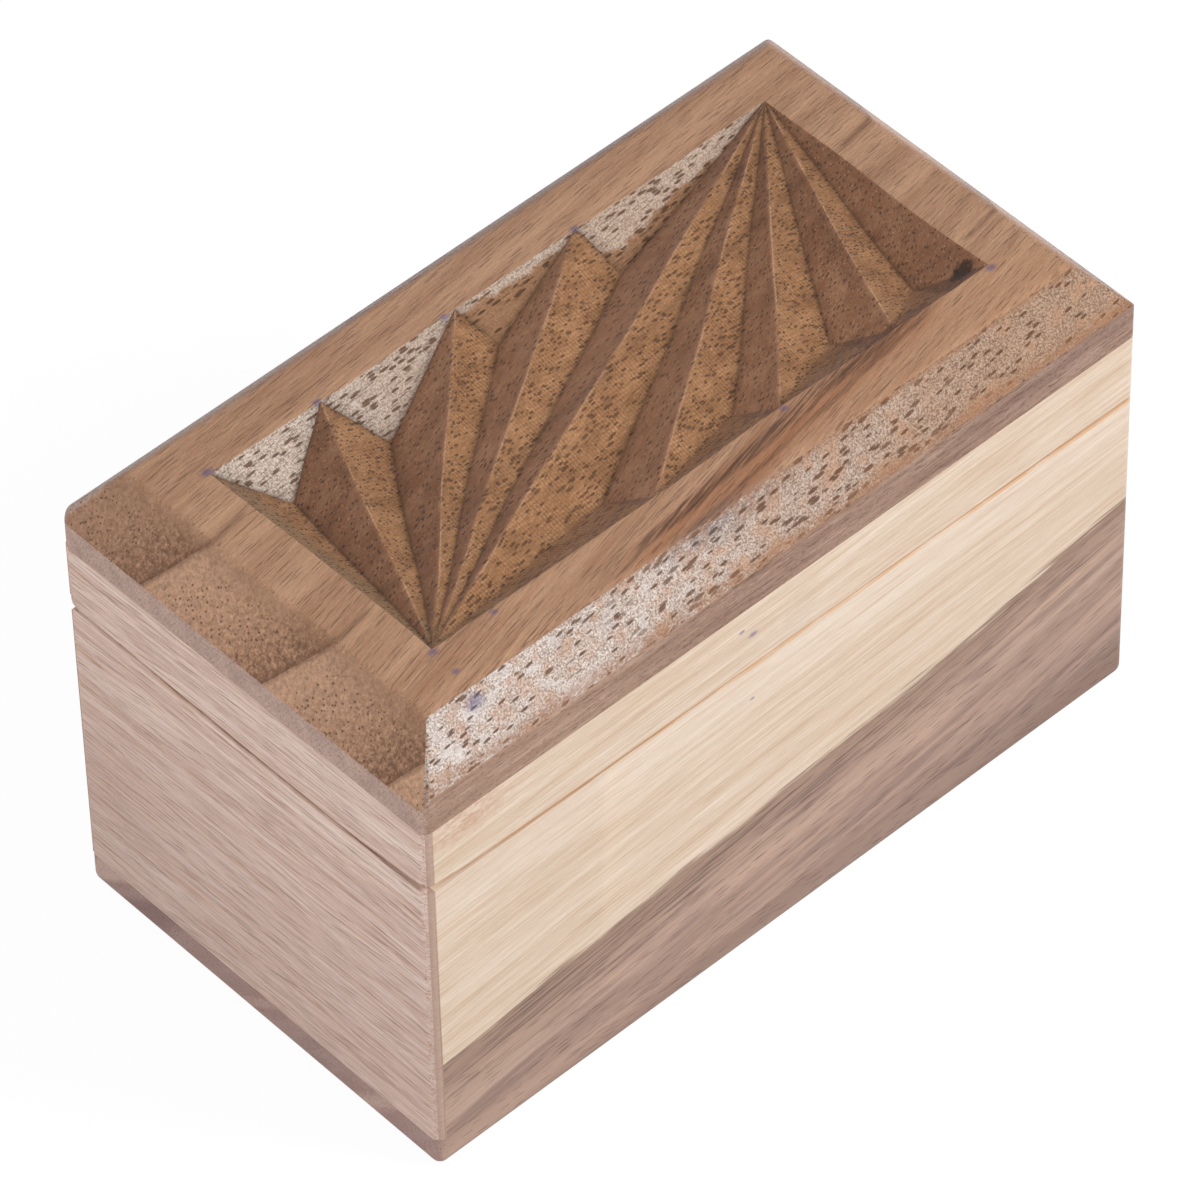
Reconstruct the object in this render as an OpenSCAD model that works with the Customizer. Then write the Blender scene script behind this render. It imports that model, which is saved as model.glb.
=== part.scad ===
// A small wooden puzzle box with a chip-carved lid, a concealed hinge and a hidden pin lock.
// Frame: +X runs along the length, the front is at -Y, the hinge is at +Y, +Z is up.
// The origin is the middle of the bottom face. All sizes are in millimetres.
// The box is drawn closed, with both lock pins slid outwards, which is the unlocked state.

/* [Case] */
// Outside length of the box
box_length = 140; // [124:1:180]
// Outside width of the box
box_width = 77; // [66:1:100]
// Thickness of the board under the walls
base_thick = 6; // [4:0.5:10]
// Height of the walls above the base board
wall_height = 54.9; // [36:0.1:90]
// Thickness of the walls and of the lid's rails
wall_thick = 10; // [9.5:0.5:13]
// Radius on the upright corners
corner_radius = 1.3; // [0.6:0.1:2.4]
// Radius round the underside of the base board
base_radius = 2; // [0.8:0.1:3]

/* [Lid] */
// Gap between the walls and the lid when the box is shut
seam_gap = 0.3; // [0.2:0.05:0.6]
// Height of the rails under the carved board
rail_height = 12.3; // [11:0.1:20]
// Thickness of the carved board
top_thick = 14.5; // [12:0.5:20]
// How far the long bevels run in from the front and the back
side_bevel_in = 6.7; // [4:0.1:9]
// How far the long bevels drop
side_bevel_drop = 8; // [5:0.1:10]
// How far the end bevels run in
end_bevel_in = 7.1; // [4:0.1:10]
// How far the end bevels drop
end_bevel_drop = 10; // [6:0.1:11]
// Small flat on the front and end edges along the seam
seam_ease = 0.4; // [0.2:0.1:0.8]

/* [Carving] */
// Flat rim left at each end of the carved field
end_rim = 8.9; // [6:0.1:14]
// Flat rim left along the front and the back of the carved field
side_rim = 8.6; // [6:0.1:12]
// Slope of every cut below the flat
knife_angle = 36; // [26:1:40]
// Feet of the rays on the back edge, as shares of the field counted from the left
back_feet = [0.188, 0.430, 0.650];
// Feet of the rays on the front edge, as shares of the field counted from the right
front_feet = [0.174, 0.379, 0.608];
// How far the ridges lie below the rim
ridge_drop = 0.12; // [0.06:0.02:0.3]

/* [Hinge] */
// Radius rounded over along the back of the seam, with the link pins at its centre
round_over = 3; // [2.6:0.1:3.4]
// Distance of each hinge from the middle of the box
hinge_offset = 42; // [34:1:46]
// Diameter of the barrels let into the back wall and the back rail
barrel_diameter = 6; // [5.6:0.1:6.6]
// Length of each barrel
barrel_length = 10.5; // [9:0.5:10.5]
// Least brass left behind the link pins
pin_cover = 0.6; // [0.4:0.1:0.8]
// Diameter of the pins through the links
link_pin_diameter = 1.2; // [1:0.1:1.3]
// Thickness of each link
link_thick = 2; // [1.6:0.1:2.4]
// Radius of the rounded ends of each link
link_end_radius = 1.25; // [1.1:0.05:1.4]
// Turn of each link when the lid is fully open, half of the lid's own turn
link_swing = 50; // [40:1:55]

/* [Lock] */
// Middle of each catch from the middle of the box
catch_offset = 32; // [28:1:34]
// Length of each catch along the box
catch_length = 12; // [8:1:14]
// Thickness of each catch where it is glued to the lid's front rail
catch_thick = 6.5; // [6:0.1:7]
// How far each catch reaches below the seam
catch_drop = 10; // [9:0.5:12]
// Thickness of the lock blocks inside the front wall
block_thick = 8; // [7:0.5:10]
// Height of the lock blocks
block_height = 14; // [12:0.5:20]
// Depth of the lock bore's axis below the top of the wall
bore_drop = 5.5; // [5:0.5:6.5]
// Diameter of the steel lock pins
lock_pin_diameter = 2.5; // [2:0.1:3]
// Length of each lock pin
lock_pin_length = 20; // [18:0.5:21]
// How far a locked pin reaches past its catch
pin_overreach = 4; // [2:0.5:6]

/* [Clearances] */
// Gap all round a barrel in its glued socket
glue_gap = 0.03; // [0.01:0.01:0.06]
// Radial running clearance of the pins in their bores
running_gap = 0.06; // [0.03:0.01:0.08]
// Gap between pieces that pass each other
free_gap = 0.3; // [0.25:0.05:0.5]
// Room in front of each catch for the arc it swings through
swing_gap = 1.1; // [1.1:0.1:1.3]

/* [Hidden] */

$fn = 64;
half_length = box_length / 2;
half_width = box_width / 2;
past = 1;                                   // how far a cutter runs past the faces it cuts

// levels
wall_top = base_thick + wall_height;
rail_bottom = wall_top + seam_gap;
rail_top = rail_bottom + rail_height;
lid_top = rail_top + top_thick;

// carved field
field_x = half_length - end_bevel_in - end_rim;
field_y = half_width - side_bevel_in - side_rim;
ridge_level = lid_top - ridge_drop;

// hinge: both pin lines lie at the centres of the round-overs
pin_y = half_width - round_over;
body_pin_z = wall_top - round_over;
lid_pin_z = rail_bottom + round_over;
barrel_y = pin_y + pin_cover + link_pin_diameter / 2 - barrel_diameter / 2;
slot_radius = link_end_radius + free_gap;

// lock: the pins run through the middle of the catches' lower parts
inner_face = -half_width + wall_thick;
bore_y = inner_face + (catch_thick + swing_gap) / 2;
bore_z = wall_top - bore_drop;
bore_radius = lock_pin_diameter / 2 + running_gap;
catch_inner = catch_offset - catch_length / 2;
catch_outer = catch_offset + catch_length / 2;
lock_pin_stop = half_length - wall_thick - free_gap;
bore_end = catch_inner - pin_overreach - free_gap;

brown = [0.47, 0.33, 0.23];
cream = [0.87, 0.76, 0.60];
blush = [0.66, 0.54, 0.46];
brass = [0.80, 0.62, 0.30];
steel = [0.72, 0.73, 0.75];

// ---------- shapes shared by several pieces ----------

// rectangle with rounded corners, centred
module rounded_rectangle(length, width, radius) {
    square([length - 2 * radius, width], center = true);
    square([length, width - 2 * radius], center = true);
    for (x = [-1, 1], y = [-1, 1])
        translate([x * (length / 2 - radius), y * (width / 2 - radius)]) circle(radius);
}

// upright prism on the outline of the whole box
module case_prism(bottom, top) {
    translate([0, 0, bottom])
        linear_extrude(top - bottom) rounded_rectangle(box_length, box_width, corner_radius);
}

// a closed (y, z) profile drawn out along X over the whole box
module along_x(length) {
    rotate([90, 0, 90]) linear_extrude(length, center = true) children();
}

// a closed (x, z) profile drawn out along Y over the whole box
module along_y(length) {
    rotate([90, 0, 0]) linear_extrude(length, center = true) children();
}

// one side of a mitred frame, seen from above: a long face outside and a short one inside
module mitred_side(outer, depth, bottom, top) {
    translate([0, 0, bottom]) linear_extrude(top - bottom)
        polygon([[-outer, -depth], [outer, -depth],
                 [outer - wall_thick, -depth + wall_thick],
                 [-outer + wall_thick, -depth + wall_thick]]);
}

module long_side(bottom, top) mitred_side(half_length, half_width, bottom, top);
module end_side(bottom, top) rotate([0, 0, -90]) mitred_side(half_width, half_length, bottom, top);

// what is taken off the outer edges of the walls at the seam, which lies at z = 0 here:
// small flats along the front and the ends, and the round-over along the back
module seam_relief() {
    along_x(box_length + 2 * past)
        polygon([[-half_width - past, past], [-half_width - past, -seam_ease - past],
                 [-half_width + seam_ease + past, past]]);
    for (side = [-1, 1])
        along_y(box_width + 2 * past)
            polygon([[side * (half_length + past), past],
                     [side * (half_length + past), -seam_ease - past],
                     [side * (half_length - seam_ease - past), past]]);
    difference() {
        translate([-half_length - past, pin_y, -round_over])
            cube([box_length + 2 * past, round_over + past, round_over + past]);
        translate([-half_length - 2 * past, pin_y, -round_over]) rotate([0, 90, 0])
            cylinder(h = box_length + 4 * past, r = round_over);
    }
}

module body_relief() translate([0, 0, wall_top]) seam_relief();
module lid_relief() translate([0, 0, rail_bottom]) mirror([0, 0, 1]) seam_relief();

// ---------- case ----------

module base_board() color(brown) intersection() {
    case_prism(0, base_thick);
    along_x(box_length) rounded_sill(box_width);
    along_y(box_width) rounded_sill(box_length);
}

// section of the base board with both lower edges rounded
module rounded_sill(span) {
    translate([-span / 2, base_radius]) square([span, base_thick - base_radius]);
    translate([-span / 2 + base_radius, 0]) square([span - 2 * base_radius, base_radius]);
    for (side = [-1, 1])
        translate([side * (span / 2 - base_radius), base_radius]) circle(base_radius);
}

module front_wall() color(cream) difference() {
    intersection() {
        long_side(base_thick, wall_top);
        case_prism(base_thick, wall_top);
    }
    body_relief();
}

module back_wall() color(cream) difference() {
    intersection() {
        rotate([0, 0, 180]) long_side(base_thick, wall_top);
        case_prism(base_thick, wall_top);
    }
    body_relief();
    for (side = [-1, 1]) translate([side * hinge_offset, 0, wall_top]) barrel_socket();
}

module left_wall() color(blush) difference() {
    intersection() {
        end_side(base_thick, wall_top);
        case_prism(base_thick, wall_top);
    }
    body_relief();
}

module right_wall() color(blush) difference() {
    intersection() {
        rotate([0, 0, 180]) end_side(base_thick, wall_top);
        case_prism(base_thick, wall_top);
    }
    body_relief();
}

// ---------- lid ----------

module lid_front_rail() color(cream) difference() {
    intersection() {
        long_side(rail_bottom, rail_top);
        case_prism(rail_bottom, rail_top);
    }
    lid_relief();
}

module lid_back_rail() color(cream) difference() {
    intersection() {
        rotate([0, 0, 180]) long_side(rail_bottom, rail_top);
        case_prism(rail_bottom, rail_top);
    }
    lid_relief();
    for (side = [-1, 1])
        translate([side * hinge_offset, 0, rail_bottom]) mirror([0, 0, 1]) barrel_socket();
}

module lid_left_rail() color(blush) difference() {
    intersection() {
        end_side(rail_bottom, rail_top);
        case_prism(rail_bottom, rail_top);
    }
    lid_relief();
}

module lid_right_rail() color(blush) difference() {
    intersection() {
        rotate([0, 0, 180]) end_side(rail_bottom, rail_top);
        case_prism(rail_bottom, rail_top);
    }
    lid_relief();
}

// half section of a bevelled board, mirrored to the full width
module bevelled_section(half_span, run, drop) {
    polygon([[-half_span, rail_top], [half_span, rail_top], [half_span, lid_top - drop],
             [half_span - run, lid_top], [-half_span + run, lid_top], [-half_span, lid_top - drop]]);
}

module carved_top() color(brown) difference() {
    intersection() {
        case_prism(rail_top, lid_top);
        along_x(box_length) bevelled_section(half_width, side_bevel_in, side_bevel_drop);
        along_y(box_width) bevelled_section(half_length, end_bevel_in, end_bevel_drop);
    }
    carved_field();
}

// What the knife takes out of the board: a flat recess as deep as ridge_drop, and under it
// two fans of chips. The first fan springs from the field's front left corner and its rays
// end on the back edge; the second is laid out the same way, turned half round.
// Corners 0-4 run along the back edge and 5-9 along the front edge, in the other direction.
// Each long edge ends at the other fan's apex. Point 10 and up lie at the bottom of the chips.
module carved_field() {
    rim = concat(edge_points(back_feet), -edge_points(front_feet));
    first = [for (fan = [0, 1], i = [0 : 3]) 5 * fan + i];
    apex = [for (fan = [0, 1], i = [0 : 3]) 9 - 5 * fan];
    pits = [for (i = [0 : 7]) pit(rim[first[i]], rim[first[i] + 1], rim[apex[i]])];
    ring = [0, 4, 5, 9];
    points = concat([for (p = rim) [p[0], p[1], ridge_level]], pits,
                    [for (i = ring) [rim[i][0], rim[i][1], lid_top + past]]);
    facets = [for (i = [0 : 7]) each [[first[i] + 1, first[i], 10 + i],
                                      [apex[i], first[i] + 1, 10 + i],
                                      [first[i], apex[i], 10 + i]]];
    sides = [[18, 0, 1, 2, 3, 4, 19], [19, 4, 5, 20], [20, 5, 6, 7, 8, 9, 21], [21, 9, 0, 18],
             [18, 19, 20, 21]];
    polyhedron(points, concat(facets, sides));
}

// the back edge of the field from its left corner to its right corner, with the feet between
function edge_points(feet) =
    [for (share = concat([0], feet, [1])) [(2 * share - 1) * field_x, field_y]];

// Bottom of a chip: its three facets slope at the knife's angle, so it lies under the point
// of the triangle that is equally far from the three sides.
function pit(a, b, c) =
    let (side_a = norm(b - c), side_b = norm(c - a), side_c = norm(a - b),
         around = side_a + side_b + side_c,
         middle = (side_a * a + side_b * b + side_c * c) / around,
         reach = abs(cross(b - a, c - a)) / around)
    [middle[0], middle[1], ridge_level - reach * tan(knife_angle)];

// ---------- hinge ----------

// The slot that a link swings in, as a (y, z) outline round the pin line: upright in front,
// open at the back as far as the link leans.
module link_slot() {
    far = round_over + 2 * past;
    lean = [sin(link_swing), cos(link_swing)];
    heel = slot_radius * (1 - lean[0]) / lean[1];
    polygon([[-slot_radius, -slot_radius], [heel, -slot_radius],
             slot_radius * [lean[1], -lean[0]] + 2 * far * lean,
             [2 * far * lean[0], far], [-slot_radius, far]]);
}

// what the hinge takes out of the back wall, with the wall's top at z = 0
module barrel_socket() {
    translate([0, barrel_y, -barrel_length - glue_gap])
        cylinder(h = barrel_length + glue_gap + past, r = barrel_diameter / 2 + glue_gap);
    translate([0, pin_y, -round_over]) along_x(link_thick + 2 * free_gap) link_slot();
}

// lower half of a hinge, with the seam face at z = 0
module barrel() {
    difference() {
        translate([0, barrel_y, -barrel_length]) cylinder(h = barrel_length, r = barrel_diameter / 2);
        seam_relief();
        translate([0, pin_y, -round_over]) {
            along_x(link_thick + 2 * free_gap) link_slot();
            rotate([0, 90, 0]) cylinder(h = 2 * barrel_diameter, d = link_pin_diameter, center = true);
        }
    }
}

// a pin through both cheeks of a barrel, filed flush with the barrel
module cross_pin(side, level) translate([side * hinge_offset, 0, level]) intersection() {
    translate([0, pin_y, 0]) rotate([0, 90, 0])
        cylinder(h = barrel_diameter, d = link_pin_diameter, center = true);
    translate([0, barrel_y, 0])
        cylinder(h = 2 * link_pin_diameter, d = barrel_diameter, center = true);
}

module hinge_link(side) color(brass) translate([side * hinge_offset, pin_y, 0]) difference() {
    along_x(link_thick) {
        for (level = [body_pin_z, lid_pin_z]) translate([0, level]) circle(link_end_radius);
        translate([-link_end_radius, body_pin_z]) square([2 * link_end_radius, lid_pin_z - body_pin_z]);
    }
    for (level = [body_pin_z, lid_pin_z])
        translate([0, 0, level]) rotate([0, 90, 0])
            cylinder(h = 2 * link_thick, r = link_pin_diameter / 2 + running_gap, center = true);
}

module body_barrel(side) color(brass) translate([side * hinge_offset, 0, wall_top]) barrel();
module lid_barrel(side) color(brass)
    translate([side * hinge_offset, 0, rail_bottom]) mirror([0, 0, 1]) barrel();

// ---------- lock ----------

// side is -1 for the left half and 1 for the right half

// a lock block glued inside the front wall between two distances from the middle of the box
module lock_block(from, to) translate([from, inner_face, wall_top - block_height])
    cube([to - from, block_thick, block_height]);

module lock_bore(side) translate([side * bore_end, bore_y, bore_z]) rotate([0, side * 90, 0])
    cylinder(h = half_length - bore_end, r = bore_radius);

module middle_lock_block() color(cream) difference() {
    lock_block(-catch_inner + free_gap, catch_inner - free_gap);
    for (side = [-1, 1]) lock_bore(side);
}

module end_lock_block(side) color(cream) difference() {
    start = side > 0 ? catch_outer + free_gap : -half_length + wall_thick;
    lock_block(start, start + half_length - wall_thick - catch_outer - free_gap);
    lock_bore(side);
}

// glued in the corner of the lid's front rail and the carved board, and set back below the
// seam, so that it clears the front wall as the lid swings up
module catch(side) color(blush) difference() {
    translate([side * catch_offset - catch_length / 2, inner_face, wall_top - catch_drop])
        cube([catch_length, catch_thick, rail_top - wall_top + catch_drop]);
    translate([side * catch_offset - catch_length / 2 - past, inner_face - past, wall_top - catch_drop - past])
        cube([catch_length + 2 * past, swing_gap + past, catch_drop + seam_gap + 2 * past]);
    translate([side * catch_offset, bore_y, bore_z]) rotate([0, 90, 0])
        cylinder(h = catch_length + 2 * past, r = lock_pin_diameter / 2 + free_gap, center = true);
}

module lock_pin(side) color(steel) {
    nose = lock_pin_diameter / 6;
    translate([side * lock_pin_stop, bore_y, bore_z]) rotate([0, -side * 90, 0]) {
        cylinder(h = nose, r1 = lock_pin_diameter / 2 - nose, r2 = lock_pin_diameter / 2);
        translate([0, 0, nose]) cylinder(h = lock_pin_length - 2 * nose, d = lock_pin_diameter);
        translate([0, 0, lock_pin_length - nose])
            cylinder(h = nose, r1 = lock_pin_diameter / 2, r2 = lock_pin_diameter / 2 - nose);
    }
}

// ---------- one line per node ----------

base_board();
front_wall();
back_wall();
left_wall();
right_wall();
carved_top();
lid_front_rail();
lid_back_rail();
lid_left_rail();
lid_right_rail();
body_barrel(-1);  // left_body_barrel
body_barrel(1);  // right_body_barrel
lid_barrel(-1);  // left_lid_barrel
lid_barrel(1);  // right_lid_barrel
hinge_link(-1);  // left_hinge_link
hinge_link(1);  // right_hinge_link
color(steel) for (side = [-1, 1]) cross_pin(side, body_pin_z);  // body_link_pins
color(steel) for (side = [-1, 1]) cross_pin(side, lid_pin_z);  // lid_link_pins
end_lock_block(-1);  // left_lock_block
middle_lock_block();
end_lock_block(1);  // right_lock_block
catch(-1);  // left_catch
catch(1);  // right_catch
lock_pin(-1);  // left_lock_pin
lock_pin(1);  // right_lock_pin
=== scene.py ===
# %% [markdown]
# # A chip-carved wooden puzzle box
#
# The box is a small wooden case with a thick carved lid. Two fans of knife-cut chips run corner to corner
# across the lid, so light and dark facets alternate like folded paper. This notebook takes the box's packed
# solids as a fixed frame and works out a finish for every piece. It also remakes eight of the wooden pieces
# with softer and truer surfaces; the back wall, the back rail and all that is inside stay as they are. Nothing
# is painted by hand and no picture is used: each pattern is computed.
#
# We begin by loading the frame. Everything is in metres, +X runs along the box, the front faces -Y, +Z is up.

# %% Load the solids
import math
import bpy
import bmesh
import numpy as np
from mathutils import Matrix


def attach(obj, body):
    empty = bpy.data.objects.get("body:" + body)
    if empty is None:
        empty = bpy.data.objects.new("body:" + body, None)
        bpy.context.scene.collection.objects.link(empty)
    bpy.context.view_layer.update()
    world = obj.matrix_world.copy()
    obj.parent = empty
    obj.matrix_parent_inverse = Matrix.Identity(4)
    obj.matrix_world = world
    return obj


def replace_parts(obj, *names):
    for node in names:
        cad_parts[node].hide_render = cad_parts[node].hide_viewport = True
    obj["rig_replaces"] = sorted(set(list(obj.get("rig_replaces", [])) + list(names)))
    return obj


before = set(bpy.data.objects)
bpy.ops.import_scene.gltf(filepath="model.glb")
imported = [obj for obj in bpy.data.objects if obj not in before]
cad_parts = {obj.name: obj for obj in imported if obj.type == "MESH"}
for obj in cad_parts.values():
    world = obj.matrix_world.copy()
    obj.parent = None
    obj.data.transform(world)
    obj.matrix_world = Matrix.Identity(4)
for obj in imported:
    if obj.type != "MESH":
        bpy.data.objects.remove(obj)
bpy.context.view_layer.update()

# %% [markdown]
# ## The camera
#
# The box is seen from its front left corner, well above it, through a long lens. A long lens keeps the
# upright edges almost parallel. The place, the turn and the focal length were worked out together, so that
# the corners of the box fall where they should in a square picture. The camera's own axes are columns of its
# matrix: right, up, and back towards the eye, with a small roll about the line of sight.

# %% Camera
MM = 0.001
DISTANCE, FOCAL_PIXELS, PICTURE_PIXELS, SENSOR = 1302.01, 8811.5, 1200, 36

azimuth, elevation, roll = (math.radians(a) for a in (-41.949, 47.748, -1.343))
aim = np.array([2.268, 4.380, 33.465])
back = np.array([math.sin(azimuth) * math.cos(elevation),
                 -math.cos(azimuth) * math.cos(elevation),
                 math.sin(elevation)])
level = np.cross(-back, [0, 0, 1])
level /= np.linalg.norm(level)
upright = np.cross(level, -back)
right = level * math.cos(roll) + upright * math.sin(roll)
up = upright * math.cos(roll) - level * math.sin(roll)

camera = bpy.data.objects.new("camera", bpy.data.cameras.new("camera"))
bpy.context.scene.collection.objects.link(camera)
pose = np.eye(4)
pose[:3, :3] = np.column_stack([right, up, back])
pose[:3, 3] = (aim + back * DISTANCE) * MM
camera.matrix_world = pose.T.tolist()
camera.data.sensor_fit = "HORIZONTAL"
camera.data.sensor_width = SENSOR
camera.data.lens = SENSOR * FOCAL_PIXELS / PICTURE_PIXELS
camera.data.clip_start, camera.data.clip_end = 0.05, 20
bpy.context.scene.camera = camera
print("camera at", pose[:3, 3].round(3).tolist(), "lens", round(camera.data.lens, 1), "mm")

# %% [markdown]
# ## Writing a finish as arithmetic
#
# A material in Blender is a graph of nodes. Long graphs are hard to read as lists of links, so a small class
# wraps a socket and gives it the usual operators: adding two wires adds a Math node. The reflected operators
# let a plain number stand on the left, as in `1 - mask`. A second class is a whole graph, and adds any node
# from its type, its settings and its inputs. A third is one finish: the graph of a material, with short names
# for the few patterns that wood needs.

# %% Wires and finishes
class Wire:
    """A socket that Python arithmetic can use. Each operator adds one Math node."""

    def __init__(self, finish, socket):
        self.finish, self.socket = finish, socket

    def math(self, operation, *values):
        return self.finish.node("ShaderNodeMath", {"operation": operation}, *values)[0]

    def __add__(self, other): return self.math("ADD", self, other)
    def __sub__(self, other): return self.math("SUBTRACT", self, other)
    def __mul__(self, other): return self.math("MULTIPLY", self, other)
    def __truediv__(self, other): return self.math("DIVIDE", self, other)
    def __rsub__(self, other): return self.math("SUBTRACT", other, self)
    __radd__, __rmul__ = __add__, __mul__

    def least(self, other): return self.math("MINIMUM", self, other)
    def most(self, other): return self.math("MAXIMUM", self, other)
    def size(self): return self.math("ABSOLUTE", self)
    def wave(self): return self.math("SINE", self)

    def rise(self, low, high):
        """0 below low, 1 above high, and a smooth step between. high may be the smaller one."""
        settings = {"interpolation_type": "SMOOTHSTEP", "clamp": True}
        if low <= high:
            return self.finish.node("ShaderNodeMapRange", settings, self, low, high)[0]
        return 1 - self.finish.node("ShaderNodeMapRange", settings, self, high, low)[0]

    def near(self, value, reach):
        """1 at a value, falling smoothly to 0 at a distance of reach from it."""
        return (self - value).size().rise(reach, 0)


class Graph:
    """The nodes of a material or of the world, starting from none."""

    def __init__(self, owner):
        owner.use_nodes = True
        self.tree = owner.node_tree
        self.tree.nodes.clear()

    def node(self, kind, settings=None, *values, **named):
        """Adds a node: its settings first, then the values or wires of its sockets, by order or by name."""
        made = self.tree.nodes.new(kind)
        for key, value in (settings or {}).items():
            if key == "stops":
                ramp = made.color_ramp.elements
                while len(ramp) < len(value):
                    ramp.new(0.5)
                for stop, (place, colour) in zip(ramp, value):
                    stop.position, stop.color = place, (*colour, 1)
            else:
                setattr(made, key, value)
        for socket, value in [*enumerate(values), *named.items()]:
            if isinstance(socket, str):
                socket = next(i for i, s in enumerate(made.inputs)
                              if s.name.replace(" ", "_") == socket and s.enabled)
            if value is None:
                continue
            if isinstance(value, Wire):
                self.tree.links.new(made.inputs[socket], value.socket)
            else:
                made.inputs[socket].default_value = value
        return [Wire(self, s) for s in made.outputs]


class Finish(Graph):
    """One material. Its place in millimetres is ready as the wires x, y and z."""

    def __init__(self, name):
        self.material = bpy.data.materials.new(name)
        super().__init__(self.material)
        spot = self.node("ShaderNodeTexCoord")[3]
        self.place = self.node("ShaderNodeVectorMath", {"operation": "SCALE"}, spot, Scale=1 / MM)[0]
        self.x, self.y, self.z = self.node("ShaderNodeSeparateXYZ", {}, self.place)[:3]

    def vector(self, x, y, z):
        return self.node("ShaderNodeCombineXYZ", {}, x, y, z)[0]

    def mix(self, share, first, second):
        """A colour that goes from first to second as share goes from 0 to 1."""
        return self.node("ShaderNodeMix", {"data_type": "RGBA"}, Factor=share, A=paint(first),
                         B=paint(second))[2]

    def layers(self, colour, *coats):
        """The colour with coats laid over it in turn. A coat is its share and its own colour."""
        for share, coat in coats:
            colour = self.mix(share, colour, coat)
        return colour

    def shade(self, colour, amount):
        """The colour with its brightness multiplied by amount, which is a wire or a number."""
        return self.node("ShaderNodeVectorMath", {"operation": "SCALE"}, colour, Scale=amount)[0]

    def cloud(self, x, y, z, detail=2.0, roughness=0.5):
        """Smooth noise between 0 and 1 with about one lump in each unit of the three wires."""
        return self.node("ShaderNodeTexNoise", {"noise_dimensions": "3D"}, Vector=self.vector(x, y, z),
                         Scale=1.0, Detail=detail, Roughness=roughness)[0]

    def lumps(self, size, detail=2.0, roughness=0.5):
        """Smooth noise between 0 and 1 with lumps of that size all ways round, in millimetres."""
        return self.cloud(self.x / size, self.y / size, self.z / size, detail, roughness)

    def cells(self, x, y, z):
        """Distance to the nearest seed of a scatter of cells, and that cell's own random number."""
        found = self.node("ShaderNodeTexVoronoi", {"feature": "F1"}, Vector=self.vector(x, y, z), Scale=1.0)
        return found[0], self.node("ShaderNodeSeparateColor", {}, found[1])[0]

    def read(self, name):
        """A number that the mesh carries under that name."""
        return self.node("ShaderNodeAttribute", {"attribute_name": name})[2]

    def finish(self, colour, roughness, height, relief, **constants):
        """The surface: colour and roughness vary, height is in millimetres, the rest are constants."""
        normal = self.node("ShaderNodeBump", {}, Strength=1.0, Distance=relief * MM, Height=height)[0]
        surface = self.node("ShaderNodeBsdfPrincipled", {}, Base_Color=colour, Roughness=roughness,
                            Normal=normal, **constants)[0]
        self.node("ShaderNodeOutputMaterial", {}, surface)
        print(f"{self.material.name}: {len(self.tree.nodes)} nodes")
        return self.material


def paint(colour):
    """A screen colour written as three numbers from 0 to 255, as linear light. Wires pass through."""
    if isinstance(colour, Wire):
        return colour
    share = np.array(colour) / 255
    light = np.where(share <= 0.04045, share / 12.92, ((share + 0.055) / 1.055) ** 2.4)
    return (*map(float, light), 1.0)


print("a finish is ready to be written")

# %% [markdown]
# ## Surfaces on a grid
#
# Every new piece is made of patches: a grid of points worked out with whole arrays, and the four-sided faces
# between neighbours. Patches that share an edge share its points, so joining them is only a matter of merging
# doubles. A patch may carry numbers on its points and on its faces, which the finishes read later.

# %% Patches and pieces
def patch(points, flip=False, on_points=None, on_faces=None):
    """A grid of points, rows by columns by three, in millimetres, with its faces and its numbers."""
    rows, columns = points.shape[:2]
    index = np.arange(rows * columns).reshape(rows, columns)
    quads = np.stack([index[:-1, :-1], index[:-1, 1:], index[1:, 1:], index[1:, :-1]], axis=-1).reshape(-1, 4)
    numbers = {k: np.broadcast_to(v, (rows, columns)).ravel() for k, v in (on_points or {}).items()}
    kinds = {k: np.broadcast_to(v, (rows - 1, columns - 1)).ravel() for k, v in (on_faces or {}).items()}
    return points.reshape(-1, 3), quads[:, ::-1] if flip else quads, numbers, kinds


def piece(name, patches, body, stands_for, smooth_up_to=35):
    """Joins patches into one closed object and lets it ride on a body in place of its solid."""
    starts = np.cumsum([0] + [len(p[0]) for p in patches])
    points = np.concatenate([p[0] for p in patches]) * MM
    faces = [tuple(int(i) for i in dict.fromkeys(quad))
             for p, start in zip(patches, starts) for quad in (p[1] + start).tolist()]
    mesh = bpy.data.meshes.new(name)
    mesh.from_pydata(points.tolist(), [], faces)
    for domain, part in (("POINT", 2), ("FACE", 3)):
        for key in sorted({k for p in patches for k in p[part]}):
            values = np.concatenate([np.broadcast_to(p[part].get(key, 0.0), len(p[0 if part == 2 else 1]))
                                     for p in patches])
            mesh.attributes.new(key, "FLOAT", domain).data.foreach_set("value", values.astype(np.float32))
    shell = bmesh.new()
    shell.from_mesh(mesh)
    bmesh.ops.remove_doubles(shell, verts=shell.verts, dist=2e-6)
    bmesh.ops.dissolve_degenerate(shell, edges=shell.edges, dist=1e-7)
    bmesh.ops.recalc_face_normals(shell, faces=shell.faces)
    open_edges = sum(1 for edge in shell.edges if len(edge.link_faces) != 2)
    shell.to_mesh(mesh)
    shell.free()
    mesh.shade_smooth()
    made = bpy.data.objects.new(name, mesh)
    bpy.context.scene.collection.objects.link(made)
    mesh.set_sharp_from_angle(angle=math.radians(smooth_up_to))
    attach(made, body)
    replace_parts(made, stands_for)
    print(f"{name}: {len(mesh.polygons)} faces, {open_edges} open edges")
    return made


def between(first, last, share):
    """Points on the straight line from first to last, at an array of shares."""
    return np.asarray(first) * (1 - share[..., None]) + np.asarray(last) * share[..., None]


def crowd(count):
    """Shares from 0 to 1, crowded at both ends like a half circle seen from the side."""
    return (1 - np.cos(np.pi * np.arange(count + 1) / count)) / 2


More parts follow.
